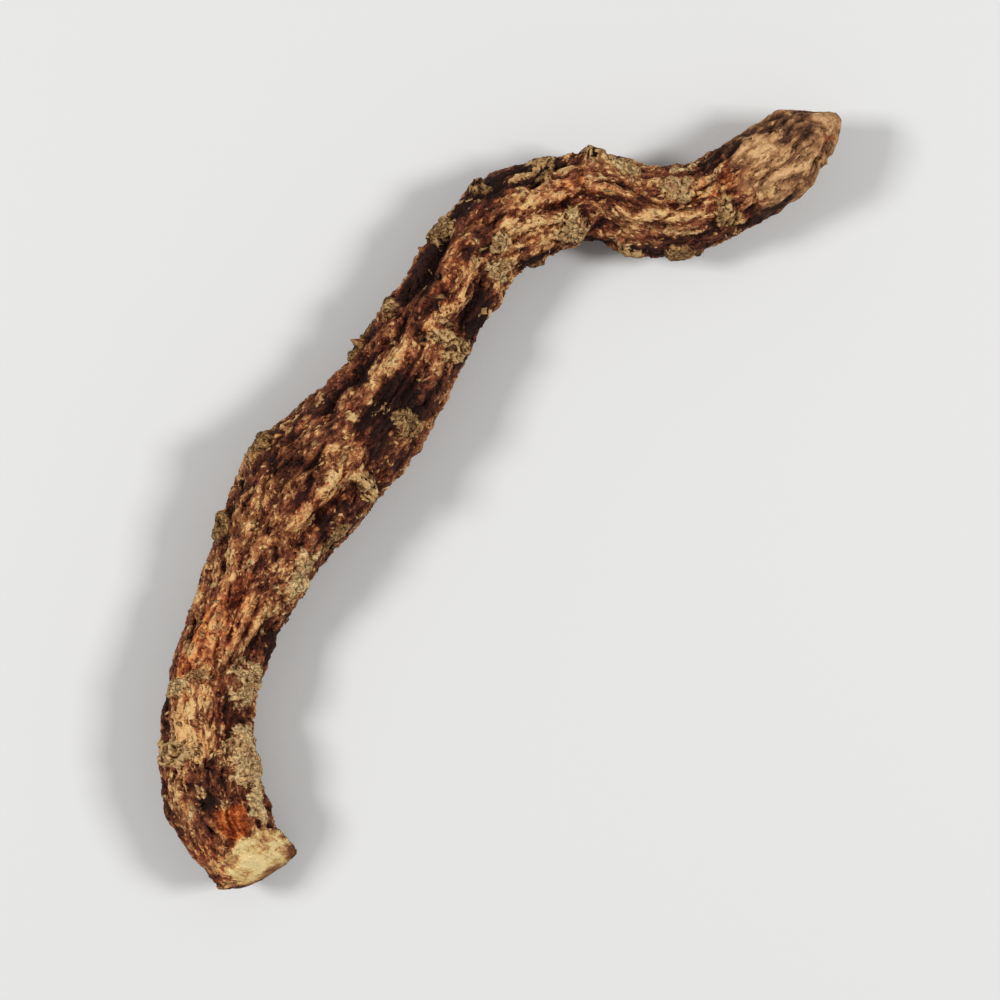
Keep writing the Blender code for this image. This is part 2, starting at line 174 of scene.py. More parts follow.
# The pads' edges: how far out they lie and how softly they fall, as shares of the pad's size, and how ragged
# they are, with the length of one tatter in mm, first the large tatters, then the small.
PAD_REACH = 1.05
PAD_FALL = 0.4
RAGGEDNESS = 0.5
TATTER_SIZE = 1.8
SMALL_RAGGEDNESS = 0.30
SMALL_TATTER_SIZE = 0.6

# How deep any furrow may go, as a share of the oval's smaller half-width, and how the relief dies out at the
# two ends: over this length in mm, down to this share.
DEEPEST_SHARE = 0.45
END_FADE = 4.0
END_RELIEF = 0.15

# The root's length along its line, in mm.
LENGTH = 113.3

# What only the looks add. Small wrinkles, and the fibres of the tip: height, length and width of one in mm,
# how much the fibres twist, in radians for each mm, and how far the wrinkles and the fibres stray, in mm.
FINE_WRINKLES = ((0.30, 3.8, 1.0), (0.18, 1.7, 0.5))
FIBRE_RIDGES = ((0.26, 9.0, 1.0), (0.15, 5.0, 0.45))
FIBRE_TWIST = 0.03
FINE_WANDER = 0.5
FINE_WANDER_SIZE = 1.6

# Short ridges and long cracks of the flesh: height or depth, length and width in mm, and how narrow they are.
FLECK_RIDGES = (0.14, 1.4, 0.5, 0.2)
LONG_CRACKS = (0.40, 6.0, 1.5, 0.10)

# Grain all over, and the pits and the cracks across the cork: height or depth, and size or step, in mm. The
# cracks also stray, in mm, and open more or less wide, from 0 to 1.
GRAIN_HEIGHT = 0.10
GRAIN_SIZE = 0.5
PIT_DEPTH = 0.14
PIT_SIZE = 0.5
RING_DEPTH = 0.26
RING_STEP = 0.75
RING_WANDER = 1.2
RING_WIDTH = 0.45

# The large folds of the cut: how high and how wide, in mm, and the share of the height that stands over the
# plain slant. Then the heights of two smaller folds over them.
CUT_FACETS = (0.9, 2.2)
CUT_FACET_LEVEL = 0.35
SMALL_CUT_FOLDS = (0.20, 0.07)

# Tones of the bare flesh: distance, offset, half-length, half-width and tone, from about -2, near black, to
# about 1.3, pale tan. They add up where they overlap. Most are the flesh's own colour, but the dark patches
# along the left and right rims are partly painted shade of the flanks.
TONE_AND_SHADE_PATCHES = (
    (10.2, 0.4, 0.9, 0.9, -1.0), (10.0, 0.6, 2.6, 1.3, -0.4), (10.5, 5.2, 3.0, 0.7, -0.8),
    (14.0, -0.8, 2.4, 0.8, -0.4), (18.1, -2.7, 1.3, 1.0, -0.7), (20.1, -2.1, 1.3, 1.0, -0.7),
    (19.5, 4.9, 3.5, 0.7, -0.8), (27.8, -4.8, 3.0, 1.3, -1.4), (31.0, -5.2, 2.0, 0.9, -0.7),
    (34.0, 0.0, 2.2, 1.4, -0.4), (38.0, 1.8, 2.2, 1.2, 0.4), (41.0, 3.6, 2.0, 1.0, 0.5),
    (49.4, 3.8, 1.8, 0.8, 0.5), (41.0, -3.1, 2.8, 0.9, -0.3), (43.0, -5.6, 2.2, 0.8, -0.7),
    (43.5, 5.2, 5.0, 1.0, -0.4), (51.0, -3.4, 1.6, 1.0, -0.7), (50.0, -5.4, 4.5, 1.0, -0.6),
    (52.0, 4.8, 5.0, 1.0, -0.5), (55.5, -0.9, 4.4, 1.9, -1.5), (56.0, 3.6, 2.6, 1.0, -0.8),
    (57.5, -3.4, 2.8, 1.4, -1.2), (63.5, -5.2, 2.6, 0.8, -0.8), (87.0, -4.2, 3.0, 0.9, -0.8),
    (59.5, 5.0, 2.6, 1.4, -0.9), (62.3, 2.2, 0.8, 0.8, -1.0), (65.7, -4.8, 3.4, 1.4, -1.9),
    (67.5, -3.6, 2.4, 1.2, -1.0), (68.6, 3.6, 4.6, 1.4, -1.5), (66.5, 1.2, 3.0, 1.2, -1.0),
    (72.6, -0.6, 2.0, 1.2, -0.9), (75.6, 3.6, 2.6, 1.5, -1.2), (79.8, 4.0, 2.8, 1.7, -1.6),
    (78.4, -5.0, 3.4, 1.1, -1.8), (82.0, -0.4, 2.4, 1.1, -0.3), (81.3, -3.2, 1.8, 1.6, 0.6),
    (86.5, -2.4, 3.0, 0.8, -0.6), (90.6, -4.7, 5.0, 1.0, -1.2), (94.5, -3.4, 2.0, 0.9, -0.7),
    (100.4, 3.7, 3.8, 1.1, -1.7), (102.4, -4.0, 3.4, 1.0, -1.6), (97.4, -2.6, 1.4, 0.9, -0.5),
    (105.0, 3.8, 2.6, 1.0, -1.4), (106.9, -3.6, 1.6, 0.5, -0.5), (108.7, 3.2, 2.4, 1.2, -0.4),
    (108.6, 1.8, 2.6, 2.0, -0.6), (109.4, -0.5, 1.8, 1.1, -0.6), (109.8, -2.9, 0.8, 0.7, -0.7),
    (111.2, 1.6, 1.0, 0.8, -0.5), (0.6, -3.8, 0.8, 0.7, -0.6), (4.8, -0.4, 1.0, 1.2, 0.4),
    (4.6, 2.6, 1.4, 0.8, 0.4), (5.0, 2.4, 1.8, 1.2, 0.5), (3.3, -2.6, 0.6, 0.9, -0.9),
    (3.5, 1.4, 1.1, 1.1, -0.8), (1.6, 2.0, 0.9, 0.9, -0.5), (2.6, -4.0, 0.8, 0.6, -0.4),
    (2.2, -0.7, 1.0, 1.2, 0.5), (1.6, -3.2, 1.0, 0.8, 0.3), (2.6, 4.6, 2.0, 0.7, -0.7),
    (3.0, 3.0, 2.0, 1.0, 0.6), (7.8, 0.7, 0.5, 0.4, 0.9), (9.7, 3.6, 2.0, 1.0, 0.6),
    (9.4, -2.4, 1.4, 0.8, 0.5), (13.6, -2.4, 2.6, 1.2, 0.7), (11.6, 3.4, 3.0, 1.6, 0.6),
    (15.5, 0.8, 2.5, 1.4, 0.7), (21.8, 1.4, 1.6, 1.4, 0.2), (18.0, 2.4, 3.6, 2.4, 0.95),
    (25.0, 2.0, 3.6, 1.8, 0.4), (33.0, 2.6, 3.4, 2.4, 0.35), (28.5, -0.6, 4.4, 2.6, 0.55),
    (31.0, 4.4, 2.0, 0.9, 0.7), (37.5, 3.2, 3.6, 1.4, 0.3), (37.5, -2.4, 2.4, 1.2, 0.25),
    (33.5, -4.3, 1.8, 1.0, 0.6), (42.5, -4.2, 2.4, 0.9, -1.3), (42.5, -0.2, 2.8, 1.0, -0.5),
    (40.5, -2.2, 3.4, 1.2, 0.6), (45.6, -2.4, 2.4, 1.4, 1.0), (50.2, -2.6, 1.8, 1.0, -0.5),
    (50.0, -0.6, 2.4, 1.4, 0.8), (50.5, 2.0, 3.0, 1.3, -0.6), (58.5, 2.2, 4.0, 1.3, 0.5),
    (60.5, -1.4, 3.0, 1.8, 0.8), (69.5, -0.9, 2.6, 0.9, 0.7), (73.0, -3.2, 2.6, 1.2, 0.5),
    (77.8, -2.6, 3.6, 1.6, 1.1), (71.8, -4.6, 1.6, 1.0, 0.8), (89.5, -2.8, 2.4, 1.2, 0.8),
    (98.0, 1.6, 2.0, 1.2, 0.6), (97.6, 3.4, 1.4, 0.8, 0.6), (93.0, 2.4, 1.8, 1.6, 0.6),
    (83.5, -0.8, 3.0, 1.0, 0.4), (79.6, 0.8, 2.6, 1.0, 0.5), (85.8, 1.4, 3.0, 1.4, 0.7),
    (89.0, 3.2, 4.0, 1.4, 0.6), (91.4, -1.6, 3.0, 1.0, 0.7), (95.0, 0.2, 3.6, 2.0, 0.35),
    (103.4, -1.8, 2.8, 1.2, 1.0), (101.0, -2.6, 1.6, 0.8, 0.6), (104.9, 1.7, 1.9, 1.3, 0.9),
    (107.2, -2.2, 2.4, 0.8, 1.1), (112.4, -0.2, 1.0, 1.3, 1.3), (105.2, -0.4, 2.6, 0.9, 0.7),
)

# Hues of the bare flesh: distance, offset, half-length, half-width and hue, from -1, olive, to 1, orange.
HUES = (
    (24.3, 3.0, 3.2, 1.5, 0.9), (84.2, 1.2, 2.4, 1.2, 0.7), (99.5, 1.3, 2.4, 1.5, 0.9),
    (29.0, 1.0, 4.4, 2.8, 0.7), (18.5, 1.8, 4.0, 2.6, 0.2), (4.0, 3.2, 3.0, 2.2, 0.6),
    (42.0, -2.0, 5.0, 2.4, 0.4), (18.5, -2.5, 3.0, 1.6, 0.6), (68.0, 0.3, 5.0, 2.0, 0.3),
    (43.5, 2.4, 3.4, 2.6, -0.7), (36.5, 4.6, 3.4, 1.6, -0.7), (108.7, 3.0, 3.0, 2.0, -0.5),
)

# Broken rootlets that stick out: distance, offset, half-length, half-width and height, in mm.
STUBS = ((58.9, 5.7, 0.30, 0.28, 0.9), (70.2, 4.5, 0.28, 0.25, 0.5))

# Amber patches: distance, offset, half-length and half-width in mm, and strength.
AMBER = ((7.3, -1.5, 2.0, 1.6, 1.0), (111.0, -1.7, 0.7, 0.7, 0.45))

# Where the tip turns fibrous, how raggedly and over what length, in mm.
FIBROUS_FROM = 100.5
FIBROUS_RAGGEDNESS = 1.5
FIBROUS_FADE = 3.0

# Small chips that lie in the skin. The turn is a spread in radians. Sizes are in mm, the slimness and the
# rise are shares of the half-length and of the half-width, and the light is how much lighter than the skin
# they are. Mostly these are the skin's own pale flecks, but the rare palest flesh flecks stand in for
# glints, a painted highlight.
Chips = namedtuple("Chips", "count corners turn half_length slimness rise sink peel depth light")
FLESH_FLECKS = Chips(
    count=13000, corners=6, turn=0.55, half_length=(0.12, 0.60), slimness=(0.20, 0.65), rise=(0.3, 0.9),
    sink=-0.02, peel=(-0.02, 0.03), depth=0.12, light=(-0.20, 0.50),
)
CORK_FLAKES = Chips(
    count=3500, corners=7, turn=2.0, half_length=(0.15, 0.60), slimness=(0.45, 1.0), rise=(0.05, 0.25),
    sink=0.02, peel=(-0.03, 0.06), depth=0.08, light=(-0.15, 0.25),
)
LOOSE_SCRAPS = Chips(
    count=1300, corners=9, turn=1.2, half_length=(0.2, 0.7), slimness=(0.3, 0.7), rise=(0.1, 0.3),
    sink=0.03, peel=(-0.06, 0.12), depth=0.10, light=(-0.25, 0.20),
)

# How the chips change towards the fibrous tip, where they are longer and less turned, and how far their rims
# reach, how unevenly, and how bent they are.
CHIP_STRETCH = 0.8
CHIP_STRAIGHTENS = 0.7
CHIP_RIM = (0.75, 1.1)
CHIP_UNEVENNESS = 0.3
CHIP_BEND = 0.5

# The skin's mesh: its map, its rings along the root and sides round it, and how much closer the sides lie
# over the back than under the belly.
MAP_NAME = "OFBake"
RINGS = 721
SIDES = 138
BACK_DENSITY = 0.22

# How crests and hollows are read from the relief, for the painted highlight on crests and the painted shade
# in hollows: averaged over these steps along and round, then how many mm count as one.
CREST_REACH = (4, 3)
CREST_SIZE = 0.16
HOLLOW_NEAR = (2, 2)
HOLLOW_FAR = (18, 12)
HOLLOW_SIZE = 0.5

# How strongly the tone follows the hollows, as painted shade in them and painted light on the rises, a slow
# drift over the skin and the folds of the cut, as painted light on the raised folds and painted shade in
# their grooves, and the ranges that the hollows and the tone are held to.
HOLLOW_SHADING = 0.38
HOLLOW_RANGE = (-1.6, 1.0)
DRIFT_TONE = 0.25
FOLD_SHADING = 1.6
TONE_RANGE = (-1.4, 1.3)

# How far the line's direction is read before and after a place, in mm, and how near to the side of an oval an
# angle is still told from an offset, as a share of its half-width.
LOOK_AROUND = 1.5
SIDE_LIMIT = 0.97

# What brings the noise to about -1 to 1, and its directions.
NOISE_GAIN = 1.6
GRADIENTS = np.random.default_rng(3).normal(size=(256, 3))
GRADIENTS /= np.linalg.norm(GRADIENTS, axis=1)[:, None]

# Colours from dark to pale: a place from 0 to 1 and an sRGB colour.
FLESH_RAMP = (
    (0.00, (38, 18, 12)), (0.18, (62, 30, 20)), (0.34, (91, 48, 31)), (0.50, (119, 68, 46)),
    (0.64, (148, 94, 62)), (0.78, (180, 126, 83)), (0.90, (207, 158, 106)), (1.00, (229, 193, 138)),
)
CORK_RAMP = (
    (0.00, (28, 16, 10)), (0.16, (68, 43, 27)), (0.34, (122, 88, 56)), (0.52, (164, 128, 86)),
    (0.74, (200, 166, 118)), (1.00, (230, 202, 152)),
)
FIBRE_RAMP = (
    (0.00, (52, 33, 26)), (0.22, (88, 59, 43)), (0.46, (134, 95, 65)), (0.70, (179, 136, 94)),
    (1.00, (222, 180, 134)),
)
AMBER_RAMP = ((0.00, (60, 22, 12)), (0.35, (124, 54, 24)), (0.65, (182, 94, 42)), (1.00, (232, 158, 92)))
CUT_RAMP = (
    (0.00, (126, 80, 52)), (0.25, (164, 116, 80)), (0.45, (194, 146, 96)), (0.65, (217, 175, 116)),
    (0.85, (233, 200, 136)), (1.00, (243, 217, 160)),
)

# Tints of the flesh and of the cork, in sRGB: the one for a hue above 0, then the one for a hue below 0, and
# how strongly each takes hold.
FLESH_TINTS = ((198, 124, 70), (118, 112, 84))
FLESH_TINT_SHARES = (0.5, -0.6)
CORK_TINTS = ((136, 116, 70), (160, 124, 116))
CORK_TINT_SHARES = (0.30, -0.4)

# The finest relief, as a bump in metres, and how strongly the bark shines.
BUMP_HEIGHT = 0.00030
SHEEN_LEVEL = 0.22

# The camera looks straight down and takes in this width at the height of the root's back. In metres, apart
# from the sensor, which is in mm.
VIEW_WIDTH = 0.100
CAMERA_HEIGHT = 0.380
BACK_HEIGHT = 0.006
SENSOR = 36.0

# Two soft lamps, at the left and the right: place in metres, size and power.
LAMPS = (
    ("left_lamp", (-0.50, 0.06, 0.50), 0.18, 2.5),
    ("right_lamp", (0.50, 0.02, 0.50), 0.18, 2.5),
)

# The sky, and the floor: half its width in metres, its colour and its roughness.
SKY_STRENGTH = 0.33
FLOOR_REACH = 2.0
FLOOR_COLOUR = (0.66, 0.66, 0.655, 1.0)
FLOOR_ROUGHNESS = 0.9


def through(knots, values, at):
    """A smooth curve through the values at the knots, read at each place."""
    slopes = np.gradient(values, knots, axis=0)
    left = np.clip(np.searchsorted(knots, at, side="right") - 1, 0, len(knots) - 2)
    step = (knots[left + 1] - knots[left])[:, None]
    t = (at - knots[left])[:, None] / step
    rise = t * t * (3 - 2 * t)
    ends = values[left] * (1 - rise) + values[left + 1] * rise
    return ends + step * t * (1 - t) * (slopes[left] * (1 - t) - slopes[left + 1] * t)


def line_at(along):
    """The middle of the root and its leftward direction, seen from above, at each distance along it."""
    knots = np.concatenate(([0.0], np.cumsum(np.hypot(*np.diff(LINE, axis=0).T))))
    ahead = through(knots, LINE, along + LOOK_AROUND) - through(knots, LINE, along - LOOK_AROUND)
    ahead /= np.linalg.norm(ahead, axis=1)[:, None]
    return through(knots, LINE, along), np.column_stack((-ahead[:, 1], ahead[:, 0]))


def oval_at(along):
    """Middle offset, half-width, middle height and half-height of the plain oval at each distance."""
    left, right, back, belly = through(OVALS[:, 0], OVALS[:, 1:], along).T
    return (left - right) / 2, (left + right) / 2, (back + belly) / 2, (back - belly) / 2


def girth_at(along):
    """The mean radius at each distance."""
    return (oval_at(along)[1] + oval_at(along)[3]) / 2


def angle_at(along, offset):
    """The angle round the root, from its left side over its back, that lies at an offset seen from above."""
    middle, half_width, _, _ = oval_at(along)
    return np.arccos(np.clip((offset - middle) / half_width, -SIDE_LIMIT, SIDE_LIMIT))


def noise(points, seed):
    """Smooth noise from about -1 to 1, with features one unit wide."""
    cell = np.floor(points).astype(np.int64)
    part = points - cell
    fade = part**3 * (part * (part * 6 - 15) + 10)
    total = np.zeros(len(points))
    for corner in itertools.product((0, 1), repeat=3):
        place = cell + corner
        mixed = place[:, 0] * 374761393 + place[:, 1] * 668265263 + place[:, 2] * 1103515245 + seed * 97531
        mixed = (mixed ^ (mixed >> 13)) * 1274126177
        slope = GRADIENTS[(mixed ^ (mixed >> 16)) & 255]
        weight = np.prod(np.where(corner, fade, 1 - fade), axis=1)
        total += weight * np.sum(slope * (part - corner), axis=1)
    return total * NOISE_GAIN


def unrolled(along, angle, length, width=None):
    """Coordinates for noise that long along the root and that wide round it, or as wide as it is long."""
    radius = girth_at(along)
    width = width or length
    return np.column_stack((along / length, np.cos(angle) * radius / width, np.sin(angle) * radius / width))


def turn_between(angle, other):
    """The signed turn from one angle to another, from minus pi to pi."""
    return (angle - other + math.pi) % (2 * math.pi) - math.pi


def smooth(share):
    """Eases a share from 0 to 1, and holds it there."""
    share = np.clip(share, 0, 1)
    return share * share * (3 - 2 * share)


def stroke_relief(along, angle):
    """The long swellings and furrows of the back."""
    radius = girth_at(along)
    total = np.zeros(len(along))
    for height, half_width, points in STROKES:
        points = np.array(points)
        angles = angle_at(points[:, 0], points[:, 1])
        across = turn_between(angle, np.interp(along, points[:, 0], angles)) * radius
        inside = np.minimum(along - points[0, 0], points[-1, 0] - along)
        total += height * smooth(inside / STROKE_FADE + STROKE_END) * np.exp(-((across / half_width) ** 2))
    return total


def skewed(draw, low, high, size=None):
    """A number from low to high, more often a low one, or that many of them."""
    return low + (high - low) * draw.uniform(size=size) ** 2


def hidden_pads():
    """The seeded pads of the belly and flanks, each with its angle in place of an offset."""
    draw = np.random.default_rng(HIDDEN_SEED)
    looks = np.random.default_rng(HIDDEN_SEED + 1)
    start, end = HIDDEN_FROM_ENDS
    for _ in range(HIDDEN_PADS):
        yield Pad(
            draw.uniform(start, LENGTH - end),
            math.radians(draw.uniform(*HIDDEN_ANGLES)),
            skewed(draw, *HIDDEN_HALF_LENGTH),
            skewed(draw, *HIDDEN_HALF_WIDTH),
            draw.uniform(*HIDDEN_HEIGHT),
            looks.uniform(*HIDDEN_SHADE),
            looks.uniform(*HIDDEN_HUE),
            looks.choice((0.0, 0.0, 1.0)),
        )


def pad_fields(along, angle):
    """The pads' relief, cover from 0 to 1, shade, hue and rings."""
    radius = girth_at(along)
    ragged = RAGGEDNESS * noise(unrolled(along, angle, TATTER_SIZE), 21)
    ragged += SMALL_RAGGEDNESS * noise(unrolled(along, angle, SMALL_TATTER_SIZE), 22)
    relief, cover, shade, hue, rings = np.zeros((5, len(along)))
    seen = [pad._replace(offset=angle_at(np.array([pad.along]), pad.offset)[0]) for pad in PADS]
    for pad in [*seen, *hidden_pads()]:
        around = turn_between(angle, pad.offset) * radius
        reach = np.hypot((along - pad.along) / pad.half_length, around / pad.half_width)
        rise = smooth((PAD_REACH - reach + ragged) / PAD_FALL)
        higher = pad.height * rise > relief
        relief = np.maximum(relief, pad.height * rise)
        cover = np.maximum(cover, rise)
        shade = np.where(higher, pad.shade, shade)
        hue = np.where(higher, pad.hue, hue)
        rings = np.where(higher, pad.rings, rings)
    return relief, cover, shade, hue, rings


def creased(along, angle, length, width, seed):
    """Rounded crests between narrow folds, about zero on average."""
    crease = np.exp(-CREASE_SHARPNESS * np.abs(noise(unrolled(along, angle, length, width), seed)))
    return CREST_HEIGHT - crease


def creases(start, along, angle, kinds, seed):
    """A relief with creased wrinkles of each kind added to it."""
    for number, (height, length, width) in enumerate(kinds):
        start = start + height * creased(along, angle, length, width, seed + number)
    return start


def wrinkle_relief(along, angle):
    """The solid's wrinkles and crumple."""
    crumple = CRUMPLE_HEIGHT * noise(unrolled(along, angle, CRUMPLE_SIZE), 51)
    return creases(crumple, along, angle, WRINKLES, 31)


def fleck_ridges(along, angle):
    """Short narrow ridges of the flesh, in mm."""
    height, length, width, half = FLECK_RIDGES
    grid = unrolled(along, angle, length, width)
    bend = 0.7 * noise(grid * 0.6, 71)
    return height * np.exp(-((noise(grid + bend[:, None], 72) / half) ** 2))


def long_cracks(along, angle):
    """Where the flesh is cracked along the root, from 0 to 1."""
    _, length, width, half = LONG_CRACKS
    grid = unrolled(along, angle, length, width)
    return np.exp(-((noise(grid, 78) / half) ** 2)) * smooth(noise(grid * 1.7, 79) * 2)


def cross_cracks(along, angle):
    """Cracks across ringed cork, and the patches that have them, both from 0 to 1."""
    wave = along + RING_WANDER * noise(unrolled(along, angle, 2.2, 1.6), 74)
    crack = np.exp(-((np.abs(np.sin(math.pi * wave / RING_STEP)) / RING_WIDTH) ** 2))
    return crack, smooth(1.5 * noise(unrolled(along, angle, 1.6), 75) + 0.5)


def pits(along, angle):
    """Where the cork is pitted, from 0 to 1."""
    return smooth((noise(unrolled(along, angle, PIT_SIZE), 73) - 0.15) / 0.25)


def fine_relief(along, angle, cover, rings, fibrous):
    """The fine relief and the cracks in it: small wrinkles, flecks, pitted and cracked cork, and fibres."""
    wander = unrolled(along, angle, FINE_WANDER_SIZE)
    astray = along + FINE_WANDER * noise(wander, 63)
    turned = angle + FINE_WANDER * noise(wander, 64) / girth_at(along)
    plain = np.zeros(len(along))
    total = creases(plain, astray, turned, FINE_WRINKLES, 61)
    total += fleck_ridges(along, angle) * (1 - 0.6 * cover)
    total += GRAIN_HEIGHT * noise(unrolled(along, angle, GRAIN_SIZE), 77)
    cracked = long_cracks(along, angle) * (1 - cover)
    total -= LONG_CRACKS[0] * cracked
    total -= PIT_DEPTH * pits(along, angle) * cover
    crack, patchy = cross_cracks(along, angle)
    crack = crack * rings * cover * patchy
    total -= RING_DEPTH * crack
    fibre = creases(plain, astray, turned + FIBRE_TWIST * along, FIBRE_RIDGES, 66)
    return total * (1 - 0.5 * fibrous) + fibre * fibrous, np.maximum(crack, cracked)


def rest_calm(along, angle):
    """A factor that takes the relief off the three low flats."""
    across = turn_between(angle, 1.5 * math.pi) * girth_at(along)
    calm = np.ones(len(along))
    for place, half_length, half_width in RESTS:
        calm -= np.exp(-(((along - place) / half_length) ** 4) - (across / half_width) ** 4)
    return calm


def zones(spots, along, angle):
    """The sum of soft patches, each a distance, offset, half-length, half-width and strength."""
    radius = girth_at(along)
    total = np.zeros(len(along))
    for place, offset, half_length, half_width, strength in spots:
        around = turn_between(angle, angle_at(np.array([place]), offset)[0]) * radius
        reach = ((along - place) / half_length) ** 2 + (around / half_width) ** 2
        total += strength * np.exp(-(reach**1.5))
    return total


def blurred(field, rows, columns):
    """A field over the rings and sides, averaged twice over that many steps each way."""
    for _ in range(2):
        for axis, reach, mode in ((0, rows, "edge"), (1, columns, "wrap")):
            ends = [(reach, reach) if number == axis else (0, 0) for number in (0, 1)]
            padded = np.pad(field, ends, mode=mode)
            sums = np.cumsum(np.insert(padded, 0, 0, axis=axis), axis=axis)
            span = 2 * reach + 1
            upper = np.take(sums, range(span, sums.shape[axis]), axis=axis)
            lower = np.take(sums, range(sums.shape[axis] - span), axis=axis)
            field = (upper - lower) / span
    return field


def mesh_places():
    """The distance and the angle of each point of the fine skin, ring by ring."""
    rows = np.linspace(OVALS[0, 0], LENGTH, RINGS)
    turns = np.arange(SIDES) * 2 * math.pi / SIDES
    turns = turns + BACK_DENSITY * np.cos(turns)
    return np.repeat(rows, SIDES), np.tile(turns, RINGS)


def held_back(along, angle, broad, fine):
    """Broad and fine relief, held back in furrows, at the ends and on the low flats, with the rootlets."""
    _, half_width, _, half_height = oval_at(along)
    end_calm = np.clip(np.minimum(along, LENGTH - along) / END_FADE + END_RELIEF, 0, 1)
    relief = np.maximum(broad * end_calm, -DEEPEST_SHARE * np.minimum(half_width, half_height))
    return (relief + fine * end_calm) * rest_calm(along, angle) + zones(STUBS, along, angle)


def placed(along, angle, relief):
    """The skin's places with its relief, in mm, and the cut's mask, distance from its heart and folds."""
    centre, leftward = line_at(along)
    middle, half_width, mid_height, half_height = oval_at(along)
    offset = middle + (half_width + relief) * np.cos(angle)
    height = mid_height + (half_height + relief) * np.sin(angle)
    cut_height, cut, ring, folds = cut_face(along, offset, height)
    height = np.maximum(np.minimum(height, cut_height), 0.0)
    seen = centre + leftward * offset[:, None]
    return np.column_stack((seen, height)), cut, ring, folds


def torn_edges(along, angle, astray, turned):
    """The strayed distance and angle, strayed further, so that soft patches get torn edges."""
    torn = unrolled(along, angle, 1.3, 1.0)
    further = astray + 0.9 * noise(torn, 43) + 0.35 * noise(torn * 3, 44)
    around = turned + (0.8 * noise(torn, 45) + 0.3 * noise(torn * 3, 46)) / girth_at(along)
    return further, around


def flesh_tone(along, angle, spots, relief, cut, folds):
    """The flesh's tone: its patches, a slow drift, and painted light and shade on its relief and on the cut's
    folds.
    """
    hollow = (blurred(relief, *HOLLOW_NEAR) - blurred(relief, *HOLLOW_FAR)) / HOLLOW_SIZE
    # Painted shade in the hollows and painted light on the rises.
    tone = spots + HOLLOW_SHADING * np.clip(hollow, *HOLLOW_RANGE).ravel()
    tone += DRIFT_TONE * noise(unrolled(along, angle, 6.0, 3.0), 82)
    # Painted light on the cut's raised folds and painted shade in their grooves.
    tone += FOLD_SHADING * cut * folds
    return np.clip(tone, *TONE_RANGE)


def skin():
    """The places of the fine skin over its rings and sides, and its fields, ringed cork and scraps' cork."""
    along, angle = mesh_places()
    wander = unrolled(along, angle, WANDER_SIZE)
    astray = along + WANDER * noise(wander, 41)
    turned = angle + WANDER * noise(wander, 42) / girth_at(along)
    pad_relief, cover, shade, hue, rings = pad_fields(astray, turned)
    ragged = FIBROUS_RAGGEDNESS * noise(unrolled(along, angle, 3.0, 2.0), 81)
    fibrous = smooth((along - FIBROUS_FROM + ragged) / FIBROUS_FADE)
    cover *= 1 - fibrous
    broad = stroke_relief(astray, turned) + pad_relief + wrinkle_relief(astray, turned)
    fine, crack = fine_relief(along, angle, cover, rings, fibrous)
    relief = held_back(along, angle, broad, fine)
    place, cut, ring, folds = placed(along, angle, relief)

    relief = relief.reshape(RINGS, SIDES)
    # The crest shading: painted light where the relief stands over its surroundings, painted shade where it
    # dips.
    crest = (relief - blurred(relief, *CREST_REACH)) / CREST_SIZE
    astray, turned = torn_edges(along, angle, astray, turned)
    # The crest and the tone carry painted light and shade; the tone also carries the flesh's own patches.
    fields = {
        "crest": np.clip(crest, -1, 1).ravel(),
        "tone": flesh_tone(along, angle, zones(TONE_AND_SHADE_PATCHES, astray, turned), relief, cut, folds),
        "hue": np.clip(zones(HUES, astray, turned), -1, 1),
        "amber": smooth(1.6 * zones(AMBER, astray, turned)),
        "lift": np.zeros(len(along)),
        "crack": crack,
        "cork": cover,
        "cork_shade": shade,
        "cork_hue": hue,
        "fibrous": fibrous,
        "cut": cut,
        "ring": ring,
        "flow": unrolled(along, angle, 1.0),
    }
    scrap = smooth(0.5 + 1.5 * noise(unrolled(along, angle, 1.5), 83))
    return place.reshape(RINGS, SIDES, 3), fields, rings, scrap


def cut_face(along, offset, height):
    """The slanting cut: its height, a mask of where it shows, the distance from its heart, and its folds."""
    heart_along, heart_offset, half_width, bulge = CUT_BULGE
    ring = np.hypot((along - heart_along) * CUT_BULGE_SQUAT, offset - heart_offset)
    slant = CUT_HEIGHT + CUT_RISE_ALONG * along + CUT_RISE_LEFT * offset
    flat_grid = np.column_stack((along * 1.3, offset, np.zeros(len(along))))
    fold_height, fold_size = CUT_FACETS
    middling, small = SMALL_CUT_FOLDS
    folds = fold_height * (CUT_FACET_LEVEL - np.abs(noise(flat_grid / fold_size, 91)))
    folds += middling * noise(flat_grid * 1.2, 93) + small * noise(flat_grid * 3.2, 94)
    level = slant + bulge * np.exp(-((ring / half_width) ** 2)) + folds
    shown = smooth((height - level + 0.8) / 1.6)
    return level, shown, ring + 0.5 * noise(flat_grid * 0.7, 92), folds


def normals(place):
    """Outward unit normals over the rings and sides."""
    ahead = np.gradient(place, axis=0)
    around = (np.roll(place, -1, axis=1) - np.roll(place, 1, axis=1)) / 2
    out = np.cross(around, ahead)
    return out / np.maximum(np.linalg.norm(out, axis=2), 1e-9)[:, :, None]


def added(name, data):
    """A new object in the scene."""
    thing = bpy.data.objects.new(name, data)
    bpy.context.scene.collection.objects.link(thing)
    return thing


def piece_from(name, points, faces, fields, flat, material):
    """A smooth piece with the fields as point attributes, riding on the root and wearing its slot.

    The flat places of each face's corners are the map that the finish can be drawn on.
    """
    mesh = bpy.data.meshes.new(name)
    mesh.from_pydata(np.clip(points * MM, *cad_box), [], faces)
    mesh.uv_layers.new(name=MAP_NAME).data.foreach_set("uv", np.asarray(flat, dtype=np.float32).ravel())
    for key, values in fields.items():
        kind = "FLOAT_VECTOR" if values.ndim == 2 else "FLOAT"
        store = mesh.attributes.new(key, kind, "POINT")
        store.data.foreach_set("vector" if values.ndim == 2 else "value", values.astype(np.float32).ravel())
    mesh.materials.append(material)
    mesh.shade_smooth()
    piece = added(name, mesh)
    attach(piece, "root")
    return piece


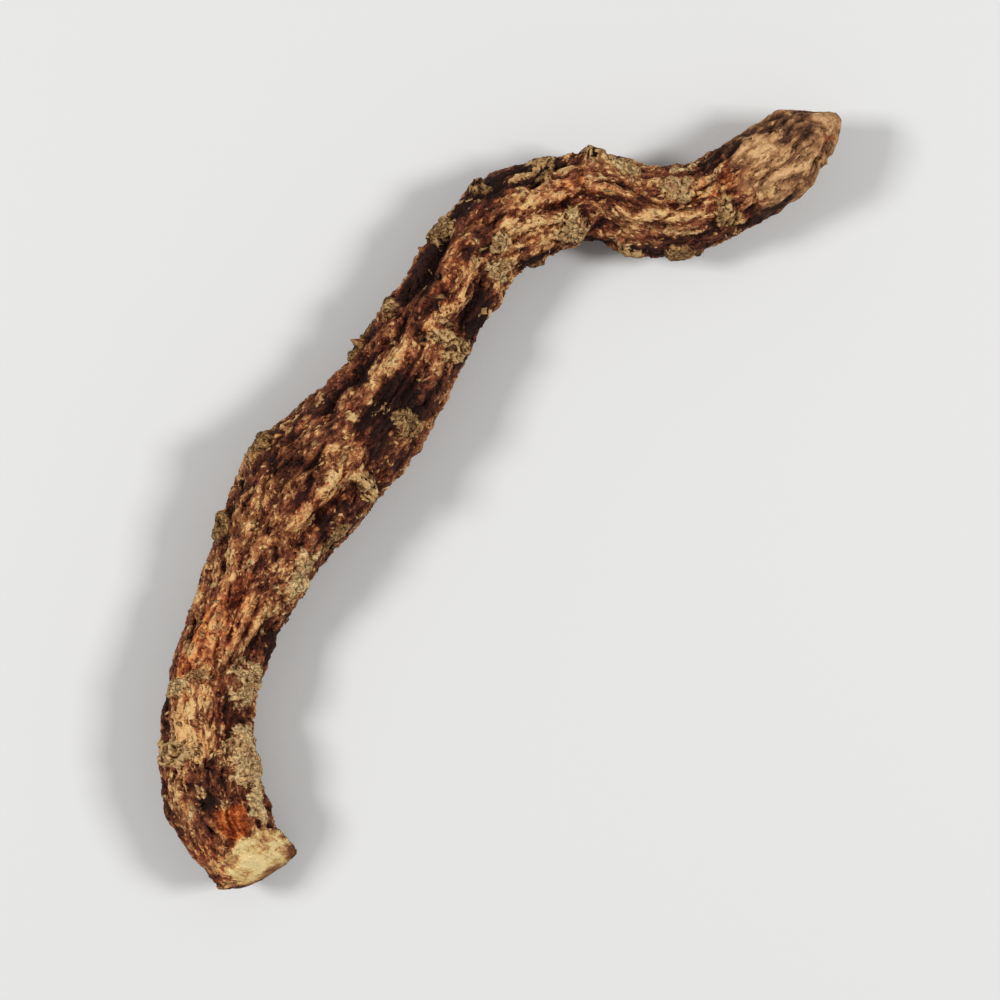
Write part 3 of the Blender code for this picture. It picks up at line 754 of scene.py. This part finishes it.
def body_piece(place, fields, material):
    """The whole fine skin, closed by a fan at each end."""
    points = [*place.reshape(-1, 3), place[0].mean(axis=0), place[-1].mean(axis=0)]
    first, last = RINGS * SIDES, RINGS * SIDES + 1
    faces = []
    flat = []
    for i, j in itertools.product(range(RINGS - 1), range(SIDES)):
        near, far, beside = i * SIDES, (i + 1) * SIDES, (j + 1) % SIDES
        faces.append((near + beside, far + beside, far + j, near + j))
        flat += [(i, j + 1), (i + 1, j + 1), (i + 1, j), (i, j)]
    top = (RINGS - 1) * SIDES
    for j in range(SIDES):
        beside = (j + 1) % SIDES
        faces.append((first, beside, j))
        faces.append((last, top + j, top + beside))
        flat += [(-1, j + 0.5), (0, j + 1), (0, j), (RINGS, j + 0.5), (RINGS - 1, j), (RINGS - 1, j + 1)]
    values = {}
    for key, field in fields.items():
        rows = field.reshape(len(field), -1)
        values[key] = np.squeeze(np.vstack((rows, rows[:SIDES].mean(axis=0), rows[-SIDES:].mean(axis=0))))
    flat = (np.array(flat) + (2, 1)) / (RINGS + 4, SIDES + 2)
    return piece_from("root_skin", np.array(points), faces, values, flat, material)


def sampled(field, row, column):
    """A field over the rings and sides, read between its points."""
    row = np.clip(row, 0, RINGS - 1.001)
    near, first = np.floor(row).astype(int), np.floor(column).astype(int)
    far_share, second_share = (row - near)[..., None], (column - first)[..., None]
    first, second = first % SIDES, (first + 1) % SIDES
    near_value = field[near, first] * (1 - second_share) + field[near, second] * second_share
    far_value = field[near + 1, first] * (1 - second_share) + field[near + 1, second] * second_share
    return near_value * (1 - far_share) + far_value * far_share


def chip_shapes(chips, fibrous, draw):
    """How far each chip's rim points lie ahead and aside, and how high its top stands, in mm."""
    count, corners = chips.count, chips.corners
    stretch = 1 + CHIP_STRETCH * fibrous
    half_length = np.exp(draw.uniform(*np.log(chips.half_length), count)) * stretch
    half_width = half_length * draw.uniform(*chips.slimness, count) / stretch
    uneven = draw.uniform(-CHIP_UNEVENNESS, CHIP_UNEVENNESS, (count, corners))
    turns = (np.arange(corners) + uneven) * 2 * math.pi / corners
    reach = draw.uniform(*CHIP_RIM, (count, corners))
    along = np.cos(turns) * reach * half_length[:, None]
    across = np.sin(turns) * reach * half_width[:, None]
    bend = draw.uniform(-CHIP_BEND, CHIP_BEND, (count, 1))
    across += bend * (along**2 / half_length[:, None] - half_length[:, None] / 2)
    turn = draw.normal(0, chips.turn * (1 - CHIP_STRAIGHTENS * fibrous), count)[:, None]
    ahead = along * np.cos(turn) - across * np.sin(turn)
    aside = along * np.sin(turn) + across * np.cos(turn)
    return ahead, aside, half_width * draw.uniform(*chips.rise, count)


def calm_skin(place):
    """The skin without its fine relief: its normals, and its mm for each ring and for each side."""
    calm = np.dstack([blurred(place[:, :, axis], 2, 2) for axis in range(3)])
    row_step = np.linalg.norm(np.gradient(calm, axis=0), axis=2)
    column_step = np.linalg.norm(np.roll(calm, -1, axis=1) - np.roll(calm, 1, axis=1), axis=2) / 2
    return normals(calm), row_step.ravel(), column_step.ravel()


def chip_points(place, fibrous, weight, chips, draw):
    """Each chip's rim, top and underside, the skin under its middle, and which point of the skin that is."""
    count = chips.count
    out, row_step, column_step = calm_skin(place)
    share = row_step * column_step * weight
    chosen = draw.choice(len(share), size=count, p=share / share.sum())
    row = chosen // SIDES + draw.uniform(-0.5, 0.5, count)
    column = chosen % SIDES + draw.uniform(-0.5, 0.5, count)
    ahead, aside, rise = chip_shapes(chips, fibrous[chosen], draw)
    rim_row = row[:, None] + ahead / row_step[chosen][:, None]
    rim_column = column[:, None] + aside / column_step[chosen][:, None]
    lift = chips.sink + draw.uniform(*chips.peel, (count, chips.corners))
    rim = sampled(place, rim_row, rim_column) + sampled(out, rim_row, rim_column) * lift[:, :, None]
    spot, up = sampled(place, row, column), sampled(out, row, column)
    top = 0.5 * spot + 0.5 * rim.mean(axis=1) + up * rise[:, None]
    under = spot - up * chips.depth
    return np.concatenate((rim, top[:, None], under[:, None]), axis=1), spot, chosen


def chip_faces(corners):
    """The faces of one chip, from its rim to its top and to its underside."""
    nexts = [(corner + 1) % corners for corner in range(corners)]
    faces = [(corner, nexts[corner], corners) for corner in range(corners)]
    return faces + [(nexts[corner], corner, corners + 1) for corner in range(corners)]


def chip_map(chips, faces):
    """The flat places of every chip's face corners, each chip in a cell of its own."""
    turns = 2 * math.pi * np.arange(chips.corners) / chips.corners
    flat = [(0.5 + 0.45 * math.cos(turn), 0.5 + 0.45 * math.sin(turn)) for turn in turns]
    flat += [(0.5, 0.5), (0.5, 0.5)]
    columns = math.ceil(math.sqrt(chips.count))
    cell = np.column_stack((np.arange(chips.count) % columns, np.arange(chips.count) // columns))
    return (np.array(flat)[np.array(faces).ravel()][None] + cell[:, None]) / columns


def chips_piece(name, skin_parts, weight, chips, seed, material):
    """Many small chips that follow the skin, each a ragged lens with its rim just under or over the skin."""
    place, fields = skin_parts
    draw = np.random.default_rng(seed)
    points, spot, chosen = chip_points(place, fields["fibrous"], weight, chips, draw)
    faces = chip_faces(chips.corners)
    size = points.shape[1]
    every = (np.array(faces)[None] + size * np.arange(chips.count)[:, None, None]).reshape(-1, 3)
    points = points.reshape(-1, 3)
    values = {}
    for key, field in fields.items():
        values[key] = np.repeat(field[chosen], size, axis=0)
    values["flow"] = values["flow"] + points - np.repeat(spot, size, axis=0)
    # Each chip's own lightness; the rare palest flesh flecks stand in for glints, a painted highlight.
    values["lift"] = np.repeat(skewed(draw, *chips.light, chips.count), size)
    # Every chip takes half of the painted crest highlight.
    values["crest"] = np.full(chips.count * size, 0.5)
    piece_from(name, points, every.tolist(), values, chip_map(chips, faces), material)


class Nodes:
    """Short words for building one material from nodes, and the named patterns that its colours weigh."""

    def __init__(self, name):
        self.material = bpy.data.materials.new(name)
        self.material.use_nodes = True
        self.tree = self.material.node_tree
        self.flow = self.field("flow", "Vector")
        self.seen = {}

    def fill(self, node, inputs):
        """Links each input that gets a socket, and sets the others."""
        for key, value in inputs.items():
            if isinstance(value, bpy.types.NodeSocket):
                self.tree.links.new(value, node.inputs[key])
            else:
                node.inputs[key].default_value = value

    def node(self, kind, inputs, **settings):
        """A new node of a kind, with its settings and its inputs."""
        node = self.tree.nodes.new("ShaderNode" + kind)
        for key, value in settings.items():
            setattr(node, key, value)
        self.fill(node, inputs)
        return node

    def field(self, name, output="Fac"):
        """One of the piece's attributes."""
        return self.node("Attribute", {}, attribute_name=name).outputs[output]

    def stretched(self, share):
        """The flow with its length scaled, so that patterns on it run long."""
        return self.node("Mapping", {"Vector": self.flow, "Scale": (share, 1.0, 1.0)}).outputs["Vector"]

    def grain(self, vector, scale, detail=2.0, roughness=0.5):
        """Noise from 0 to 1."""
        inputs = {"Vector": vector, "Scale": scale, "Detail": detail, "Roughness": roughness}
        return self.node("TexNoise", inputs).outputs["Fac"]

    def warped(self, vector, scale, amount):
        """A vector pushed about by noise."""
        push = self.node("TexNoise", {"Vector": vector, "Scale": scale, "Detail": 1.0}).outputs["Color"]
        inputs = {0: push, 1: (amount, amount, amount), 2: vector}
        return self.node("VectorMath", inputs, operation="MULTIPLY_ADD").outputs["Vector"]

    def cells(self, vector, scale):
        """A random number from 0 to 1 for each cell of a cracked pattern."""
        colour = self.node("TexVoronoi", {"Vector": vector, "Scale": scale}).outputs["Color"]
        return self.node("SeparateColor", {"Color": colour}).outputs["Red"]

    def dots(self, vector, scale, radius):
        """Scattered round dots, 1 inside them and 0 between them, with a radius in cells."""
        distance = self.node("TexVoronoi", {"Vector": vector, "Scale": scale}).outputs["Distance"]
        return self.ranged(self.math("MULTIPLY", distance, -1.0), -radius, -0.5 * radius)

    def math(self, operation, first, second=0.0, clamp=False):
        """One sum on two numbers."""
        return self.node("Math", {0: first, 1: second}, operation=operation, use_clamp=clamp).outputs[0]

    def weighed(self, start, **weights):
        """A start value plus each named pattern times its weight."""
        total = start
        for name, weight in weights.items():
            total = self.math("ADD", self.math("MULTIPLY", self.seen[name], weight), total)
        return total

    def ranged(self, value, low, high):
        """The share from 0 to 1 of the way from low to high, eased."""
        inputs = {"Value": value, "From Min": low, "From Max": high}
        return self.node("MapRange", inputs, interpolation_type="SMOOTHSTEP").outputs["Result"]

    def ramp(self, value, stops):
        """A colour ramp through stops of place and sRGB colour."""
        node = self.node("ValToRGB", {"Fac": value})
        elements = node.color_ramp.elements
        while len(elements) < len(stops):
            elements.new(0.5)
        for element, (place, colour) in zip(elements, stops):
            element.position = place
            element.color = linear(colour)
        return node.outputs["Color"]

    def mix(self, share, first, second, blend="MIX"):
        """A share of the second colour over the first. The colours are the node's inputs 6 and 7."""
        inputs = {"Factor": share, 6: first, 7: second}
        return self.node("Mix", inputs, data_type="RGBA", blend_type=blend).outputs[2]

    def bumped(self, height, distance):
        """A bump of that distance in metres."""
        return self.node("Bump", {"Distance": distance, "Height": height}).outputs["Normal"]


def linear(colour):
    """An sRGB colour of 0 to 255 as the linear one that Blender takes."""
    shares = [value / 255 for value in colour]
    parts = [value / 12.92 if value <= 0.04045 else ((value + 0.055) / 1.055) ** 2.4 for value in shares]
    return (*parts, 1.0)


def add_patterns(nodes):
    """Names the attributes and the procedural patterns that the colours weigh."""
    flow, seen = nodes.flow, nodes.seen
    # The crest and the tone carry painted light and shade from the relief.
    for name in ("tone", "crest", "lift", "crack", "cork", "cork_shade", "amber", "fibrous", "cut", "ring"):
        seen[name] = nodes.field(name)
    seen["streak"] = nodes.grain(nodes.stretched(0.35), 3.0, 3.0, 0.65)
    seen["streaks"] = nodes.grain(nodes.stretched(0.10), 3.2, 3.0, 0.6)
    seen["grain"] = nodes.grain(flow, 3.2, 3.0, 0.7)
    seen["blotch"] = nodes.grain(flow, 0.7, 3.0, 0.6)
    seen["speck"] = nodes.grain(flow, 6.5, 2.0, 0.7)
    seen["stipple"] = nodes.dots(nodes.warped(flow, 2.0, 0.5), 1.5, 0.26)
    seen["crumbs"] = nodes.cells(nodes.warped(nodes.stretched(0.55), 2.0, 0.5), 2.6)
    seen["scraps"] = nodes.cells(nodes.warped(nodes.stretched(0.6), 1.0, 1.0), 1.1)
    seen["pale_crumb"] = nodes.ranged(seen["crumbs"], 0.80, 0.95)
    seen["pale_scrap"] = nodes.ranged(seen["scraps"], 0.86, 0.90)
    drift = nodes.grain(nodes.stretched(0.6), 0.9, 2.0, 0.6)
    seen["tint"] = nodes.math("SUBTRACT", drift, 0.5)


def tinted(nodes, colour, hue, tints, shares):
    """A colour drawn to the first tint by a hue above 0 and to the second by a hue below 0."""
    for tint, share in zip(tints, shares):
        colour = nodes.mix(nodes.math("MULTIPLY", hue, share, clamp=True), colour, linear(tint), "OVERLAY")
    return colour


def flesh_colour(nodes):
    """Reddish brown flesh, near black to pale tan, with painted shade in furrows and painted highlights on
    crests.
    """
    value = nodes.weighed(
        -0.88, tone=0.46, crest=0.16, streak=0.7, grain=0.7, blotch=0.5, speck=0.5, crumbs=0.22,
        scraps=0.12, pale_crumb=0.16, pale_scrap=0.10, lift=1.0, crack=-0.4,
    )
    darkest = nodes.weighed(-0.56, tone=0.12, grain=0.7, streak=0.5, speck=0.3, crest=0.10, lift=0.6)
    colour = nodes.ramp(nodes.math("MAXIMUM", value, darkest), FLESH_RAMP)
    hue = nodes.weighed(nodes.field("hue"), tint=2.4)
    return tinted(nodes, colour, hue, FLESH_TINTS, FLESH_TINT_SHARES)


def cork_colour(nodes):
    """Grey-tan cork with dark dots and cracks, and painted light on its crests and shade in its dips."""
    value = nodes.weighed(
        -0.48, cork_shade=0.20, crest=0.16, grain=0.7, speck=0.8, blotch=0.5, crumbs=0.16, crack=-0.6,
        lift=0.8, stipple=-0.50,
    )
    hue = nodes.weighed(nodes.field("cork_hue"), tint=5.0)
    return tinted(nodes, nodes.ramp(value, CORK_RAMP), hue, CORK_TINTS, CORK_TINT_SHARES)


def amber_colour(nodes):
    """The clear orange brown beside the cut, with painted light on its crests and shade in its dips."""
    return nodes.ramp(nodes.weighed(-0.75, crest=0.2, grain=1.3, streak=0.7, blotch=0.6), AMBER_RAMP)


def fibre_colour(nodes):
    """The tan fibres of the tip, with painted light on crests and painted shade in hollows and dips."""
    value = nodes.weighed(
        -0.75, tone=0.27, crest=0.17, streaks=0.8, grain=0.9, blotch=0.9, lift=0.8, crack=-0.1
    )
    return nodes.ramp(value, FIBRE_RAMP)


def cut_colour(nodes):
    """The cream cut, browner towards its rim, with pale veins, and painted light and shade on its folds and
    crests.
    """
    nodes.seen["rim"] = nodes.ranged(nodes.weighed(0.0, ring=1.0, blotch=3.0), 3.6, 6.0)
    veins = nodes.grain(nodes.warped(nodes.flow, 0.6, 1.6), 0.9, 2.0, 0.5)
    veins = nodes.math("ABSOLUTE", nodes.math("SUBTRACT", veins, 0.5))
    nodes.seen["veins"] = nodes.ranged(veins, 0.0, 0.035)
    value = nodes.weighed(
        -1.56, tone=0.60, crest=0.15, grain=1.2, streaks=1.3, blotch=1.6, rim=-0.35, veins=0.25
    )
    return nodes.ramp(value, CUT_RAMP)


def add_masks(nodes):
    """Names where cork covers the flesh, in pads and in pale scraps, and where the cut shows."""
    cover = nodes.weighed(-0.68, cork=1.0, grain=0.5, crumbs=0.25, blotch=0.6)
    patches = nodes.ranged(nodes.seen["blotch"], 0.50, 0.60)
    scraps = nodes.math("MULTIPLY", nodes.seen["pale_scrap"], patches)
    nodes.seen["cork_mask"] = nodes.ranged(nodes.math("MAXIMUM", cover, scraps), 0.32, 0.60)
    edge = nodes.weighed(-0.75, cut=1.0, grain=0.5, streaks=0.5, blotch=0.8)
    nodes.seen["cut_mask"] = nodes.ranged(edge, 0.45, 0.85)


def root_material():
    """Wrinkled flesh under flaking cork, with an amber patch, a fibrous tip and a pale cut."""
    nodes = Nodes("root_skin")
    add_patterns(nodes)
    add_masks(nodes)
    colour = nodes.mix(nodes.seen["fibrous"], flesh_colour(nodes), fibre_colour(nodes))
    colour = nodes.mix(nodes.seen["amber"], colour, amber_colour(nodes))
    colour = nodes.mix(nodes.seen["cork_mask"], colour, cork_colour(nodes))
    colour = nodes.mix(nodes.seen["cut_mask"], colour, cut_colour(nodes))

    rough = nodes.weighed(0.33, speck=0.35, cork_mask=0.25, fibrous=0.15, cut_mask=0.10)
    rough = nodes.math("SUBTRACT", rough, nodes.math("MULTIPLY", nodes.seen["amber"], 0.15))
    height = nodes.weighed(0.0, grain=0.7, streak=0.4, speck=0.6, crumbs=0.25)
    bump = nodes.bumped(height, BUMP_HEIGHT)
    finish = {"Base Color": colour, "Roughness": rough, "Normal": bump, "Specular IOR Level": SHEEN_LEVEL}
    nodes.fill(nodes.tree.nodes["Principled BSDF"], finish)
    return nodes.material


def floor_piece():
    """A wide pale floor that the root lies on."""
    half = FLOOR_REACH
    corners = [(-half, -half, 0), (half, -half, 0), (half, half, 0), (-half, half, 0)]
    mesh = bpy.data.meshes.new("floor")
    mesh.from_pydata(corners, [], [(0, 1, 2, 3)])
    material = bpy.data.materials.new("pale_floor")
    material.use_nodes = True
    shader = material.node_tree.nodes["Principled BSDF"]
    shader.inputs["Base Color"].default_value = FLOOR_COLOUR
    shader.inputs["Roughness"].default_value = FLOOR_ROUGHNESS
    mesh.materials.append(material)
    floor = added("floor", mesh)


def lamp(name, place, size, power):
    """A square soft light that faces the root."""
    light = bpy.data.lights.new(name, "AREA")
    light.size = size
    light.energy = power
    holder = added(name, light)
    holder.location = place
    holder.rotation_euler = holder.location.to_track_quat("Z", "Y").to_euler()


def studio():
    """Two soft lamps, a pale sky and the camera straight above."""
    for row in LAMPS:
        lamp(*row)
    world = bpy.data.worlds.new("studio")
    world.use_nodes = True
    sky = world.node_tree.nodes["Background"]
    sky.inputs["Color"].default_value = (1.0, 1.0, 1.0, 1.0)
    sky.inputs["Strength"].default_value = SKY_STRENGTH
    scene = bpy.context.scene
    scene.world = world
    scene.view_settings.view_transform = "Standard"
    scene.view_settings.look = "Medium High Contrast"
    lens = bpy.data.cameras.new("camera")
    lens.sensor_width = SENSOR
    lens.lens = SENSOR * (CAMERA_HEIGHT - BACK_HEIGHT) / VIEW_WIDTH
    lens.clip_start = 0.01
    camera = added("camera", lens)
    camera.location = (0, 0, CAMERA_HEIGHT)
    scene.camera = camera


def main():
    """Dresses the root and sets the studio."""
    place, fields, rings, scrap = skin()
    material = root_material()
    body = body_piece(place, fields, material)
    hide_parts(NODE)
    cork = fields["cork"]
    uncut = (1 - fields["cut"]) * (1 - 0.7 * fields["amber"])
    pale = (0.15 + 0.85 * smooth(0.6 + 0.5 * fields["tone"])) * (1 - 0.6 * fields["fibrous"])
    chips_piece("flesh_flecks", (place, fields), (1 - cork) * uncut * pale, FLESH_FLECKS, 101, material)
    whole = 1 - 0.8 * np.round(rings)
    chips_piece("cork_flakes", (place, fields), cork * uncut * whole, CORK_FLAKES, 102, material)
    edge = (4 * cork * (1 - cork) + 0.15) * (1 - fields["fibrous"])
    scrap_fields = {**fields, "cork": scrap}
    chips_piece("loose_scraps", (place, scrap_fields), edge * uncut * pale, LOOSE_SCRAPS, 103, material)
    floor_piece()
    studio()


main()
